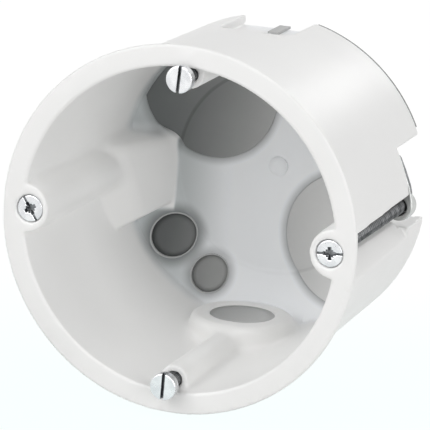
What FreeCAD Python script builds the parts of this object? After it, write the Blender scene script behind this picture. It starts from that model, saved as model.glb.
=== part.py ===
import FreeCAD, Part
import os
import re
import Sketcher

# Round flush-mounting box for one wiring device in a hollow wall.
# The origin is on the box's axis, in the plane of the wall's surface, where the
# rim's back face rests. X points right and Z up as seen from the room, and Y
# runs along the axis into the wall. Depths are measured from the wall's surface.
# Millimetres throughout.

V = FreeCAD.Vector
doc = FreeCAD.newDocument("drywall_back_box")
os.makedirs("parts", exist_ok=True)

# Dimensions: numbers drive, and formulas follow them
DIMENSIONS = [
    ("rim_diameter", 72.0),
    ("rim_thickness", 1.0),
    ("rim_ledge", 2.2),
    ("body_depth", 51.0),
    ("body_draft", 1.1),
    ("land_length", 5.0),
    ("wall_thickness", 2.1),
    ("outer_inset", 0.01),
    ("body_front_diameter", "=rim_diameter-2*rim_ledge"),
    ("body_back_diameter", "=body_front_diameter-2*body_draft"),
    ("opening_diameter", "=body_front_diameter-2*wall_thickness"),
    # floor: a cone that falls from the wall to a flat disc
    ("cone_fall", 4.6),
    ("cone_width", 9.7),
    ("floor_thickness", 1.6),
    ("skirt_wall", 1.6),
    ("skirt_step", 0.3),
    ("floor_edge_depth", "=body_depth-cone_fall/2"),
    ("disc_depth", "=body_depth+cone_fall/2"),
    ("disc_diameter", "=body_back_diameter-2*wall_thickness-2*cone_width"),
    ("gate_radius", 2.1),
    ("gate_height", 0.35),
    ("gate_offset", 1.2),
    # clamping screws, one each side
    ("claw_screw_inset", 1.2),
    ("claw_screw_spacing", "=opening_diameter-2*claw_screw_inset"),
    ("claw_screw_diameter", 3.0),
    ("claw_screw_end", "=body_depth-5.5"),
    ("claw_head_diameter", 5.7),
    ("claw_head_height", 1.8),
    ("claw_head_sink", 0.4),
    ("recess_half_width", 0.4),
    ("recess_depth", 1.1),
    ("notch_depth", 0.5),
    ("head_play", 0.25),
    ("shank_play", 0.15),
    ("thread_play", 0.05),
    ("ear_radius", 3.8),
    ("ear_depth", 3.4),
    ("ear_flare", 5.5),
    ("rib_radius", 4.15),
    ("rib_flare", 5.9),
    ("rib_root", 0.3),
    ("groove_radius", 3.05),
    ("groove_mouth", 4.3),
    ("groove_slope", 0.435),
    # recesses that hold the folded claws
    ("pocket_front", "=body_depth-14.2"),
    ("pocket_wall", 1.5),
    ("pocket_ramp", 0.64),
    ("pocket_ridge", "=pocket_front+1.1"),
    ("pocket_floor_front", "=body_front_diameter/2-6.6"),
    ("pocket_floor_back", "=disc_diameter/2+1.7"),
    ("pocket_roof_front", "=pocket_ridge+1.3"),
    ("pocket_side_wall", "=pocket_wall*1.15"),
    ("pocket_inner_edge", "=disc_diameter/2-0.2"),
    ("pocket_low_side", 4.0),
    ("pocket_low_slope", 0.12),
    ("pocket_high_side", 6.9),
    ("pocket_high_slope", 0.57),
    ("pocket_slant", 0.3),
    ("pocket_step", 4.5),
    ("pocket_crest", 12.4),
    # claws
    ("claw_front", "=body_depth-11"),
    ("claw_plate", 1.3),
    ("claw_hub_radius", 2.85),
    ("claw_hub_length", 3.0),
    ("claw_reach", 10.2),
    ("claw_half_width", 2.74),
    ("claw_shoulder", 1.3),
    ("claw_waist", 2.05),
    ("claw_waist_reach", 4.3),
    ("claw_neck", 0.8),
    ("claw_neck_reach", 7.35),
    ("claw_tip_width", 2.4),
    ("claw_corner", 0.45),
    # screws that hold the device, above and below
    ("device_screw_inset", 1.7),
    ("device_screw_spacing", "=opening_diameter-2*device_screw_inset"),
    ("device_screw_diameter", 3.2),
    ("device_screw_length", 18.0),
    ("device_head_diameter", 5.6),
    ("device_head_height", 2.0),
    ("device_head_front", 4.3),
    ("slot_width", 0.9),
    ("slot_depth", 1.1),
    ("post_radius", 3.2),
    ("post_front", 1.5),
    ("post_bore_depth", 20.0),
    # soft cable entries
    ("large_entry_radius", 13.3),
    ("large_entry_offset", "=disc_diameter/2-0.9"),
    ("large_entry_angle_upper", 133.8),
    ("large_entry_angle_lower", -35.0),
    ("entry_wall_gap", 0.5),
    ("membrane_sink", 0.1),
    ("membrane_thickness", 0.9),
    ("cable_entry_offset", "=disc_diameter/2+cone_width/2-0.1"),
    ("cable_entry_radius_wide", 4.3),
    ("cable_entry_radius_narrow", 3.6),
    ("cable_entry_angle_wide", 37.7),
    ("cable_entry_angle_narrow", 61.9),
    ("cable_ring_wall", 0.55),
    ("cable_ring_height", 0.4),
    ("cable_ring_root", 0.4),
    ("pad_angle_start", 24.0),
    ("pad_angle_span", 52.0),
    ("pad_inset", 0.1),
    ("pad_lip", 0.6),
    ("pad_lip_inset", 0.1),
    ("pad_run_in", 1.2),
    ("side_entry_depth", "=body_depth-12.7"),
    ("side_entry_radius", 6.5),
    ("boss_radius", 10.4),
    ("boss_height", "=body_front_diameter/2-7.8"),
    ("boss_shoulder", 1.6),
    ("notch_half_width", 7.3),
    ("notch_floor", "=body_front_diameter/2-3.8"),
    ("notch_wall", 1.6),
    ("sleeve_wall", 0.8),
    ("sleeve_end", "=boss_height+1.2"),
    ("tab_width", 2.3),
    ("tab_offset", 0.85),
    ("tab_overlap", 0.3),
    ("tab_height", 0.45),
    # lengths of cuts, which end in free space
    ("overrun", 2.0),
    ("through", 20.0),
]

sheet = doc.addObject("Spreadsheet::Sheet", "Sheet")
ALIASES = []
for row, (alias, value) in enumerate(DIMENSIONS, start=1):
    sheet.set("A%d" % row, alias)
    sheet.set("B%d" % row, str(value))
    sheet.setAlias("B%d" % row, alias)
    ALIASES.append(alias)
doc.recompute()


def ref(text):
    """Turn words such as rim_diameter/2 into an expression on the sheet."""
    return re.sub(r"[a-z_]+", lambda found: ("Sheet." if found[0] in ALIASES else "") + found[0], text)


def bind(obj, **sizes):
    """Bind properties of an object to expressions on the sheet."""
    for name, text in sizes.items():
        obj.setExpression(name.replace("__", "."), ref(text))
    return obj


# Sketches and solids

def polygon(sketch, corners):
    """Closed outline whose corners are bound to pairs of expressions."""
    count = len(corners)
    doc.recompute()
    points = [V(value_of(x), value_of(y), 0) for x, y in corners]
    for k in range(count):
        sketch.addGeometry(Part.LineSegment(points[k], points[(k + 1) % count]), False)
    for k in range(count):
        sketch.addConstraint(Sketcher.Constraint("Coincident", k, 2, (k + 1) % count, 1))
    for k, (x, y) in enumerate(corners):
        for kind, text, value in (("DistanceX", x, points[k].x), ("DistanceY", y, points[k].y)):
            if text == "0":
                axis = -2 if kind == "DistanceX" else -1
                sketch.addConstraint(Sketcher.Constraint("PointOnObject", k, 1, axis))
                continue
            index = sketch.addConstraint(Sketcher.Constraint(kind, -1, 1, k, 1, value))
            sketch.setExpression("Constraints[%d]" % index, ref(text))
    return sketch


probe = doc.addObject("App::FeaturePython", "Probe")
probe.addProperty("App::PropertyFloat", "Value")


def value_of(text):
    """Present value of an expression on the sheet."""
    probe.setExpression("Value", ref(text))
    probe.recompute()
    return probe.Value


def flat_sketch(name, plane, offset="0"):
    """Sketch on the XY, XZ or YZ plane, moved along the third axis."""
    sketch = doc.addObject("Sketcher::SketchObject", name)
    if plane == "YZ":
        sketch.Placement = FreeCAD.Placement(V(0, 0, 0), FreeCAD.Rotation(V(1, 1, 1), 120))
        bind(sketch, Placement__Base__x=offset)
    elif plane == "XZ":
        sketch.Placement = FreeCAD.Placement(V(0, 0, 0), FreeCAD.Rotation(V(1, 0, 0), 90))
        if offset != "0":
            bind(sketch, Placement__Base__y=offset)
    elif offset != "0":
        bind(sketch, Placement__Base__z=offset)
    return sketch


def extrusion(name, sketch, direction, length):
    solid = doc.addObject("Part::Extrusion", name)
    solid.Base = sketch
    solid.DirMode = "Custom"
    solid.Dir = direction
    solid.Solid = True
    bind(solid, LengthFwd=length)
    return solid


def turned(name, sketch, angle="360"):
    """Solid turned about the sketch's vertical axis."""
    solid = doc.addObject("Part::Revolution", name)
    solid.Source = sketch
    solid.Axis = V(0, 1, 0)
    solid.Base = V(0, 0, 0)
    solid.Solid = True
    bind(solid, Angle=angle)
    return solid


def cylinder_y(name, radius, x, y, z, length):
    """Cylinder along +Y that starts at x, y, z."""
    solid = doc.addObject("Part::Cylinder", name)
    solid.Placement = FreeCAD.Placement(V(0, 0, 0), FreeCAD.Rotation(V(1, 0, 0), -90))
    bind(solid, Radius=radius, Height=length)
    bind(solid, Placement__Base__x=x, Placement__Base__y=y, Placement__Base__z=z)
    return solid


def cylinder_z(name, radius, y, z, length, side):
    """Cylinder along Z, away from the axis on the given side."""
    solid = doc.addObject("Part::Cylinder", name)
    turn = 0 if side > 0 else 180
    solid.Placement = FreeCAD.Placement(V(0, 0, 0), FreeCAD.Rotation(V(0, 1, 0), turn))
    bind(solid, Radius=radius, Height=length)
    bind(solid, Placement__Base__y=y, Placement__Base__z="%d*(%s)" % (side, z))
    return solid


def fuse(name, solids):
    joined = doc.addObject("Part::MultiFuse", name)
    joined.Shapes = solids
    return joined


def common(name, solids):
    shared = doc.addObject("Part::MultiCommon", name)
    shared.Shapes = solids
    return shared


def cut(name, base, tool):
    rest = doc.addObject("Part::Cut", name)
    rest.Base = base
    rest.Tool = tool
    return rest


SIDES = ((1, "right"), (-1, "left"))
LEVELS = ((1, "top"), (-1, "bottom"))

# Floor: a shallow cone falls from the wall to a flat disc in the middle
FLOOR_EDGE = "(body_back_diameter/2-wall_thickness)"
FLOOR_FALL = "((disc_depth-floor_edge_depth)/(%s-disc_diameter/2))" % FLOOR_EDGE


def floor_depth(radius):
    """Depth of the cone's inner face at a radius."""
    return "(disc_depth-%s*((%s)-disc_diameter/2))" % (FLOOR_FALL, radius)


def shell_of_revolution():
    inner = "body_back_diameter/2-wall_thickness"
    skirt = "body_back_diameter/2-skirt_wall"
    sketch = polygon(flat_sketch("WallProfile", "XY"), [
        ("opening_diameter/2", "-rim_thickness"),
        ("rim_diameter/2", "-rim_thickness"),
        ("rim_diameter/2", "0"),
        ("body_front_diameter/2", "0"),
        ("body_front_diameter/2", "land_length"),
        ("body_back_diameter/2", "body_depth"),
        (skirt, "body_depth"),
        (skirt, floor_depth(skirt) + "+floor_thickness"),
        ("disc_diameter/2", "disc_depth+floor_thickness"),
        ("0", "disc_depth+floor_thickness"),
        ("0", "disc_depth"),
        ("disc_diameter/2", "disc_depth"),
        (inner, "floor_edge_depth"),
    ])
    return turned("WallAndFloor", sketch)


def envelope():
    """Everything inside the body's outer face, set in a little from that face."""
    back = "disc_depth+floor_thickness-outer_inset"
    sketch = polygon(flat_sketch("EnvelopeProfile", "XY"), [
        ("0", "-rim_thickness"),
        ("body_front_diameter/2-outer_inset", "-rim_thickness"),
        ("body_front_diameter/2-outer_inset", "land_length"),
        ("body_back_diameter/2-outer_inset", "body_depth-skirt_step"),
        ("disc_diameter/2", back),
        ("0", back),
    ])
    return turned("Envelope", sketch)


def flared_rib(side, name, radius, flare, start, length):
    """Housing of a clamping screw: a round back that flares into the wall."""
    centre = "%d*claw_screw_spacing/2" % side
    barrel = cylinder_y("Barrel" + name, radius, centre, start, "0", length)
    # the flare leaves the barrel where it is tangent to a line at 30 degrees
    near = "%d*(claw_screw_spacing/2-(%s)*sin(30))" % (side, radius)
    half = "(%s)*cos(30)" % radius
    far = "%d*(opening_diameter/2+rib_root)" % side
    web = polygon(flat_sketch("Flare" + name, "XZ", start), [
        (near, half), (far, flare), (far, "-" + flare), (near, "-" + half)])
    return [barrel, extrusion("Web" + name, web, V(0, 1, 0), length)]


def pocket_block(side, name, depth_outline, low_wall, high_wall, reach):
    """Sloping corner block: one outline seen from above, one from the front."""
    above = polygon(flat_sketch("Above" + name, "XY", "-through"),
                    [("%d*(%s)" % (side, x), y) for x, y in depth_outline])
    slab = extrusion("Slab" + name, above, V(0, 0, 1), "2*through")
    high = "(pocket_high_side+%s)" % high_wall
    low = "(pocket_low_side-pocket_low_slope*(body_back_diameter/2-%s)+%s)"
    rise = "pocket_high_slope*(%s-pocket_inner_edge)" % reach
    edge = "%d*pocket_inner_edge" % side
    front = polygon(flat_sketch("Front" + name, "XZ"), [
        (edge, "%d*%s" % (side, high)),
        ("%d*(%s)" % (side, reach), "%d*(%s+%s)" % (side, high, rise)),
        ("%d*(%s)" % (side, reach), "%d*-%s" % (side, low % (reach, low_wall))),
        (edge, "%d*-%s" % (side, low % ("pocket_inner_edge", low_wall))),
    ])
    prism = extrusion("Prism" + name, front, V(0, 1, 0), "body_depth+through")
    return common("Block" + name, [slab, prism])


def pocket_lining(side, name):
    """Wall round the recess, seen inside the box as a block with a ramp in front."""
    ridge = "pocket_floor_front-pocket_wall"
    outline = [
        ("body_front_diameter/2", "pocket_ridge-pocket_ramp*(body_front_diameter/2-(%s))" % ridge),
        (ridge, "pocket_ridge"),
        ("pocket_inner_edge", "disc_depth+floor_thickness/4"),
        ("pocket_inner_edge", "disc_depth+floor_thickness"),
        ("body_front_diameter/2", "disc_depth+floor_thickness"),
    ]
    return pocket_block(side, "Lining" + name, outline, "pocket_wall", "pocket_side_wall",
                        "body_front_diameter/2")


def pocket_recess(side, name):
    """Recess for the folded claw; its front edge runs back towards the groove."""
    outside = "rim_diameter/2+overrun"
    outline = [
        (outside, "pocket_front"),
        ("body_back_diameter/2", "pocket_front"),
        ("pocket_floor_front", "pocket_roof_front"),
        ("pocket_floor_back", "disc_depth+floor_thickness"),
        ("pocket_floor_back", "body_depth+through"),
        (outside, "body_depth+through"),
    ]
    block = pocket_block(side, "Recess" + name, outline, "0", "0", "(%s)" % outside)
    step_depth = "(pocket_front+pocket_slant*(pocket_crest-pocket_step))"
    guard = flat_sketch("Guard" + name, "YZ", "%d*pocket_floor_back-overrun" % side)
    polygon(guard, [
        ("pocket_front-through", "-%d*through" % side),
        (step_depth, "-%d*through" % side),
        (step_depth, "%d*pocket_step" % side),
        ("pocket_front-pocket_slant*pocket_crest", "%d*2*pocket_crest" % side),
        ("pocket_front-through", "%d*2*pocket_crest" % side),
    ])
    return cut("SlantedRecess" + name, block,
               extrusion("GuardBlock" + name, guard, V(side, 0, 0), "through"))


def screw_groove(side, name):
    """Open channel along the outside, in which the claw runs forward."""
    centre = "%d*claw_screw_spacing/2" % side
    length = "pocket_front+pocket_slant*(pocket_crest-pocket_step)+overrun-ear_depth"
    barrel = cylinder_y("Groove" + name, "groove_radius", centre, "ear_depth", "0", length)
    # the mouth's sides leave the barrel as tangents and open to its width at the body's surface
    turn = "atan(groove_slope)"
    near = "%d*(claw_screw_spacing/2-groove_radius*sin(%s))" % (side, turn)
    half = "groove_radius*cos(%s)" % turn
    far = "%d*(rim_diameter/2+overrun)" % side
    wide = "(groove_mouth+groove_slope*(rim_diameter/2+overrun-body_back_diameter/2))"
    mouth = polygon(flat_sketch("Mouth" + name, "XZ", "ear_depth"), [
        (near, half), (far, wide), (far, "-" + wide), (near, "-" + half)])
    return [barrel, extrusion("MouthCut" + name, mouth, V(0, 1, 0), length)]


def claw_screw_hole(side, name):
    centre = "%d*claw_screw_spacing/2" % side
    bore = cylinder_y("ClawBore" + name, "claw_screw_diameter/2+shank_play", centre,
                      "-rim_thickness-overrun", "0", "rim_thickness+ear_depth+2*overrun")
    sink = cylinder_y("HeadSink" + name, "claw_head_diameter/2+head_play", centre,
                      "-rim_thickness-overrun", "0",
                      "overrun+claw_head_sink+claw_head_height+thread_play")
    return [bore, sink]


def device_post(side, name):
    """Half-round post inside the wall that takes a device screw."""
    z = "%d*device_screw_spacing/2" % side
    return cylinder_y("Post" + name, "post_radius", "0", "post_front", z,
                      "side_entry_depth-post_front")


def device_screw_hole(side, name):
    z = "%d*device_screw_spacing/2" % side
    return cylinder_y("PostBore" + name, "device_screw_diameter/2+thread_play", "0",
                      "post_front-1", z, "post_bore_depth+1")


def entry_boss(side, name):
    """Round raised seat around the side entry, with a sloped shoulder."""
    seat = polygon(flat_sketch("BossProfile" + name, "XY"), [
        ("0", "boss_height"),
        ("boss_radius-boss_shoulder", "boss_height"),
        ("boss_radius", "boss_height+boss_shoulder"),
        ("boss_radius", "body_front_diameter/2"),
        ("0", "body_front_diameter/2"),
    ])
    solid = turned("Boss" + name, seat)
    solid.Placement = FreeCAD.Placement(V(0, 0, 0), FreeCAD.Rotation(V(1, 0, 0), 90 * side))
    bind(solid, Placement__Base__y="side_entry_depth")
    return solid


def notch_lining(side, name):
    """Wall under the flat recess, from the seat back to the floor."""
    under = doc.addObject("Part::Box", "NotchLining" + name)
    height = "(notch_wall+body_front_diameter/2-notch_floor)"
    bind(under, Length="2*(notch_half_width+notch_wall)", Height=height,
         Width="body_depth-side_entry_depth")
    bind(under, Placement__Base__x="-notch_half_width-notch_wall",
         Placement__Base__y="side_entry_depth",
         Placement__Base__z="notch_floor-notch_wall" if side > 0 else "-notch_floor+notch_wall-" + height)
    return under


def entry_notch(side, name):
    """Flat recess outside the side entry, open to the back edge."""
    arc = cylinder_z("NotchArc" + name, "notch_half_width", "side_entry_depth",
                     "notch_floor", "through", side)
    run = doc.addObject("Part::Box", "NotchRun" + name)
    bind(run, Length="2*notch_half_width", Width="through", Height="through")
    bind(run, Placement__Base__x="-notch_half_width", Placement__Base__y="side_entry_depth",
         Placement__Base__z="notch_floor" if side > 0 else "-notch_floor-through")
    hole = cylinder_z("EntryHole" + name, "side_entry_radius", "side_entry_depth",
                      "boss_height-overrun", "through", side)
    return [arc, run, hole]


def polar(offset, angle):
    """X and Z of a point at a radius and an angle from +X towards +Z."""
    return "%s*cos(%s)" % (offset, angle), "%s*sin(%s)" % (offset, angle)


LARGE = (("left", "large_entry_angle_upper"), ("right", "large_entry_angle_lower"))
CABLE = (("Wide", "cable_entry_radius_wide", "cable_entry_angle_wide"),
         ("Narrow", "cable_entry_radius_narrow", "cable_entry_angle_narrow"))


def large_entry(name, angle, start, length):
    """Round area of the floor, cut off where it meets the wall."""
    x, z = polar("large_entry_offset", angle)
    disc = cylinder_y("LargeDisc" + name, "large_entry_radius", x, start, z, length)
    limit = cylinder_y("LargeLimit" + name, FLOOR_EDGE + "-entry_wall_gap", "0", start, "0", length)
    return common("LargeEntry" + name, [disc, limit])


def cable_entries(side, name, kind, extra, start, length):
    """The two small round entries on one side, as cylinders along the axis."""
    solids = []
    for size, radius, angle in CABLE:
        turn = angle if side > 0 else "(%s+180)" % angle
        x, z = polar("cable_entry_offset", turn)
        solids.append(cylinder_y(kind + size + name, radius + extra, x, start, z, length))
    return solids


def floor_layer(name, inner, outer):
    """Layer that follows the floor between two distances behind its inner face."""
    edge = "(body_back_diameter/2-skirt_wall)"
    sketch = polygon(flat_sketch("Layer" + name, "XY"), [
        ("0", "disc_depth+" + inner),
        ("disc_diameter/2", "disc_depth+" + inner),
        (edge, floor_depth(edge) + "+" + inner),
        (edge, floor_depth(edge) + "+" + outer),
        ("disc_diameter/2", "disc_depth+" + outer),
        ("0", "disc_depth+" + outer),
    ])
    return turned("FloorLayer" + name, sketch)


def box_shell():
    wall = shell_of_revolution()
    holes = [large_entry("Hole" + name, angle, "floor_edge_depth-cone_fall", "through")
             for name, angle in LARGE]
    floor_open = cut("FloorOpen", wall, fuse("LargeHoles", holes))

    added = []
    for side, name in SIDES:
        added += flared_rib(side, "Ear" + name, "ear_radius", "ear_flare", "-rim_thickness",
                            "ear_depth+rim_thickness")
        added += flared_rib(side, "Rib" + name, "rib_radius", "rib_flare", "0", "pocket_front+pocket_wall")
        added.append(pocket_lining(side, name))
    for side, name in LEVELS:
        added.append(device_post(side, name))
        added.append(entry_boss(side, name))
        added.append(notch_lining(side, name))
    trimmed = common("AddedInside", [fuse("Added", added), envelope()])

    rings = []
    for side, name in LEVELS:
        rings += cable_entries(side, name, "Ring", "+cable_ring_wall",
                               "floor_edge_depth-cone_fall", "through")
    ring_layer = common("CableRings", [
        fuse("RingSet", rings), floor_layer("Ring", "-cable_ring_height", "cable_ring_root")])
    gate = cylinder_y("GateMark", "gate_radius", "gate_offset/2", "disc_depth-gate_height",
                      "gate_offset", "gate_height+floor_thickness/2")
    body = fuse("BodySolid", [floor_open, trimmed, ring_layer, gate])

    removed = []
    for side, name in SIDES:
        removed += screw_groove(side, name)
        removed += claw_screw_hole(side, name)
        removed.append(pocket_recess(side, name))
    for side, name in LEVELS:
        removed.append(device_screw_hole(side, name))
        removed += entry_notch(side, name)
        removed += cable_entries(side, name, "CableHole", "", "floor_edge_depth-cone_fall", "through")
    shell = cut("BoxShell", body, fuse("Removed", removed))
    shell.Label = "box_shell"
    return shell


def large_membranes():
    """Soft sheets moulded into the two large openings of the floor."""
    pieces = []
    for name, angle in LARGE:
        area = large_entry("Sheet" + name, angle, "floor_edge_depth-cone_fall", "through")
        layer = floor_layer("Sheet" + name, "membrane_sink", "(membrane_sink+membrane_thickness)")
        sheet_all = common("SheetOfFloor" + name, [area, layer])
        side = -1 if name == "left" else 1
        piece = cut("LargeMembrane" + name, sheet_all, pocket_lining(side, "Relief" + name))
        piece.Label = "large_membrane_" + name
        pieces.append(piece)
    return pieces


def cable_pads():
    """Soft pad on the back of the floor, which closes two small entries."""
    pieces = []
    for side, name in LEVELS:
        skirt = "(body_back_diameter/2-skirt_wall)"
        inner = "(disc_diameter/2+pad_inset)"
        lip = "body_back_diameter/2-pad_lip_inset"
        back = "+floor_thickness"
        sketch = polygon(flat_sketch("PadProfile" + name, "XY"), [
            (inner, floor_depth(inner) + back),
            (skirt, floor_depth(skirt) + back),
            (skirt, "body_depth"),
            (lip, "body_depth"),
            (lip, "body_depth+pad_lip"),
            (skirt + "-pad_run_in", floor_depth(skirt + "-pad_run_in") + back + "+membrane_thickness"),
            (inner, floor_depth(inner) + back + "+membrane_thickness"),
        ])
        sector = turned("PadSector" + name, sketch, angle="pad_angle_span")
        # the sector turns from +X towards -Z, so it starts at its far end
        end = "pad_angle_start+pad_angle_span" if side > 0 else "pad_angle_start+pad_angle_span+180"
        sector.Placement = FreeCAD.Placement(V(0, 0, 0), FreeCAD.Rotation(V(0, -1, 0), 1))
        bind(sector, Placement__Rotation__Angle=end)
        reliefs = fuse("PadReliefs" + name, [pocket_lining(side, "PadPocket" + name),
                                             notch_lining(side, "Pad" + name)])
        piece = cut("CablePad" + name, sector, reliefs)
        piece.Label = "cable_membrane_" + name
        pieces.append(piece)
    return pieces


def side_membranes():
    """Soft cup in a side entry: sleeve, thin end and flat tab."""
    pieces = []
    for side, name in LEVELS:
        profile = polygon(flat_sketch("CupProfile" + name, "XY"), [
            ("0", "sleeve_end"),
            ("side_entry_radius", "sleeve_end"),
            ("side_entry_radius", "notch_floor"),
            ("side_entry_radius-sleeve_wall", "notch_floor"),
            ("side_entry_radius-sleeve_wall", "sleeve_end+sleeve_wall"),
            ("0", "sleeve_end+sleeve_wall"),
        ])
        cup = turned("Cup" + name, profile)
        cup.Placement = FreeCAD.Placement(V(0, 0, 0), FreeCAD.Rotation(V(1, 0, 0), 90 * side))
        bind(cup, Placement__Base__y="side_entry_depth")
        tab = doc.addObject("Part::Box", "Tab" + name)
        front = "side_entry_depth+side_entry_radius-tab_overlap"
        bind(tab, Length="tab_width", Width="body_depth+pad_lip-(%s)" % front, Height="tab_height")
        bind(tab, Placement__Base__x="-tab_width/2+%d*tab_offset" % side, Placement__Base__y=front,
             Placement__Base__z="notch_floor" if side > 0 else "-notch_floor-tab_height")
        piece = fuse("SideMembrane" + name, [cup, tab])
        piece.Label = "side_membrane_" + name
        pieces.append(piece)
    return pieces


# Screws and claws

def body_plane(body, role):
    for feature in body.Origin.OriginFeatures:
        if feature.Role == role:
            return feature


def body_sketch(body, name, role):
    sketch = body.newObject("Sketcher::SketchObject", name)
    sketch.AttachmentSupport = (body_plane(body, role), [""])
    sketch.MapMode = "FlatFace"
    return sketch


def turned_screw(name, head_radius, head_height, shank_radius, length):
    """Head and shank turned about the Y axis, the head's front at the origin."""
    body = doc.addObject("PartDesign::Body", name)
    sketch = body_sketch(body, name + "Profile", "XY_Plane")
    polygon(sketch, [
        ("0", "0"),
        (head_radius, "0"),
        (head_radius, head_height),
        (shank_radius, head_height),
        (shank_radius, head_height + "+" + length),
        ("0", head_height + "+" + length),
    ])
    turn = body.newObject("PartDesign::Revolution", name + "Turn")
    turn.Profile = sketch
    turn.ReferenceAxis = (sketch, ["V_Axis"])
    turn.Angle = 360
    return body


def cross_cut(body, name, bars, depth):
    """Straight slots cut from the front of a screw head."""
    for k, (half_x, half_z) in enumerate(bars):
        sketch = body_sketch(body, "%sBar%d" % (name, k), "XZ_Plane")
        polygon(sketch, [("-" + half_x, "-" + half_z), (half_x, "-" + half_z),
                         (half_x, half_z), ("-" + half_x, half_z)])
        pocket = body.newObject("PartDesign::Pocket", "%sCut%d" % (name, k))
        pocket.Profile = sketch
        pocket.Type = 0
        bind(pocket, Length=depth[k])
        doc.recompute()
        before = pocket.BaseFeature.Shape.Volume
        if pocket.Shape.Volume > before - 1e-3:
            pocket.Reversed = True
            doc.recompute()


def device_screws():
    screws = []
    for side, name in LEVELS:
        body = turned_screw("DeviceScrew" + name, "device_head_diameter/2", "device_head_height",
                            "device_screw_diameter/2", "device_screw_length")
        cross_cut(body, "DeviceSlot" + name, [("slot_width/2", "device_head_diameter")],
                  ["slot_depth"])
        body.Label = "device_screw_" + name
        bind(body, Placement__Base__y="-device_head_front",
             Placement__Base__z="%d*device_screw_spacing/2" % side)
        screws.append(body)
    return screws


def claw_screws():
    screws = []
    for side, name in SIDES:
        length = "(claw_screw_end+rim_thickness-claw_head_sink-claw_head_height)"
        body = turned_screw("ClawScrew" + name, "claw_head_diameter/2", "claw_head_height",
                            "claw_screw_diameter/2", length)
        cross_cut(body, "ClawCross" + name,
                  [("4*recess_half_width", "recess_half_width"),
                   ("recess_half_width", "4*recess_half_width"),
                   ("0.75*recess_half_width", "claw_head_diameter")],
                  ["recess_depth", "recess_depth", "notch_depth"])
        body.Label = "claw_screw_" + name
        bind(body, Placement__Base__x="%d*claw_screw_spacing/2" % side,
             Placement__Base__y="claw_head_sink-rim_thickness")
        screws.append(body)
    return screws


def claws():
    """Pressed steel claws on the clamping screws, folded into their recesses."""
    pieces = []
    for side, name in SIDES:
        body = doc.addObject("PartDesign::Body", "Claw" + name)
        blade = body_sketch(body, "Blade" + name, "XZ_Plane")
        inner = "-claw_half_width"
        outline = [
            (inner, "0"), ("claw_half_width", "0"),
            ("claw_half_width", "claw_shoulder"),
            ("claw_waist", "claw_waist_reach"),
            ("claw_neck", "claw_neck_reach"),
            (inner + "+claw_tip_width", "claw_reach-claw_corner"),
            (inner + "+claw_tip_width-claw_corner", "claw_reach"),
            (inner + "+claw_corner", "claw_reach"),
            (inner, "claw_reach-claw_corner"),
        ]
        polygon(blade, [("%d*(%s)" % (side, x), "0" if z == "0" else "%d*(%s)" % (side, z))
                        for x, z in outline])
        plate = body.newObject("PartDesign::Pad", "BladePad" + name)
        plate.Profile = blade
        plate.Reversed = True
        bind(plate, Length="claw_plate")
        hub = body_sketch(body, "Hub" + name, "XZ_Plane")
        circle(hub, "claw_hub_radius")
        boss = body.newObject("PartDesign::Pad", "HubPad" + name)
        boss.Profile = hub
        boss.Reversed = True
        bind(boss, Length="claw_hub_length")
        bore = body_sketch(body, "Bore" + name, "XZ_Plane")
        circle(bore, "claw_screw_diameter/2+thread_play")
        hole = body.newObject("PartDesign::Pocket", "BoreCut" + name)
        hole.Profile = bore
        hole.Type = 1
        hole.Midplane = True
        body.Label = "claw_" + name
        bind(body, Placement__Base__x="%d*claw_screw_spacing/2" % side,
             Placement__Base__y="claw_front")
        pieces.append(body)
    return pieces


def circle(sketch, radius):
    value = value_of(radius)
    sketch.addGeometry(Part.Circle(V(0, 0, 0), V(0, 0, 1), value), False)
    sketch.addConstraint(Sketcher.Constraint("Coincident", 0, 3, -1, 1))
    index = sketch.addConstraint(Sketcher.Constraint("Radius", 0, value))
    sketch.setExpression("Constraints[%d]" % index, ref(radius))
    return sketch


nodes = [box_shell()]
nodes += large_membranes()
nodes += cable_pads()
nodes += side_membranes()
nodes += device_screws()
nodes += claw_screws()
nodes += claws()
doc.recompute()

for obj in doc.Objects:
    if "Invalid" in obj.State or "Error" in obj.State:
        raise RuntimeError("%s failed: %s" % (obj.Name, obj.State))
for node in nodes:
    shape = node.Shape
    if shape.isNull() or not shape.isValid() or not shape.Solids:
        raise RuntimeError("%s has no sound solid" % node.Label)
    print("%-24s solids %d volume %.1f" % (node.Label, len(shape.Solids), shape.Volume))
    shape.exportStep("parts/%s.step" % node.Label)
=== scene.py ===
import bmesh
import bpy
import math
import numpy as np
import openvdb
from mathutils import Matrix, Vector


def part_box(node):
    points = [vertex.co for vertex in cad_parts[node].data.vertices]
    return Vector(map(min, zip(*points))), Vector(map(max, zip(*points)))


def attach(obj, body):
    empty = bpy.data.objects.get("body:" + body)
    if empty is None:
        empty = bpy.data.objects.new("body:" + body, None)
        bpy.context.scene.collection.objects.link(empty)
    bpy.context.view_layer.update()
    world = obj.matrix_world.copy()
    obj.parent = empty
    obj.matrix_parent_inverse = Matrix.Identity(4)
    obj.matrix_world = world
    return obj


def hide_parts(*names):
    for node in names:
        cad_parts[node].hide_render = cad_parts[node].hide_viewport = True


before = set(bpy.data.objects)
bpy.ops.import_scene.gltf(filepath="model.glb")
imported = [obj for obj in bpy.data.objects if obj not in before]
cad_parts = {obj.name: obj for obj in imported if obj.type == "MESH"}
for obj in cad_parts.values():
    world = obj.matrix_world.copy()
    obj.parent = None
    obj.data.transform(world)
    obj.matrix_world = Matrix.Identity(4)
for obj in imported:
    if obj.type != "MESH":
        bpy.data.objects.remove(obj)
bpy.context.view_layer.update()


# Camera.
# It looks into the box from the right and a little above, through a long lens. Its place and its
# turns were fitted to the rim and the four screw heads of the photo.
MM = 0.001
EYE = Vector((259.494, -684.754, 194.908)) * MM
VIEW_AZIMUTH = math.radians(20.230)
VIEW_ELEVATION = math.radians(14.660)
VIEW_ROLL = math.radians(3.163)
FOCAL_PIXELS = 4000
PHOTO_WIDTH = 430
SENSOR = 36.0
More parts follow.
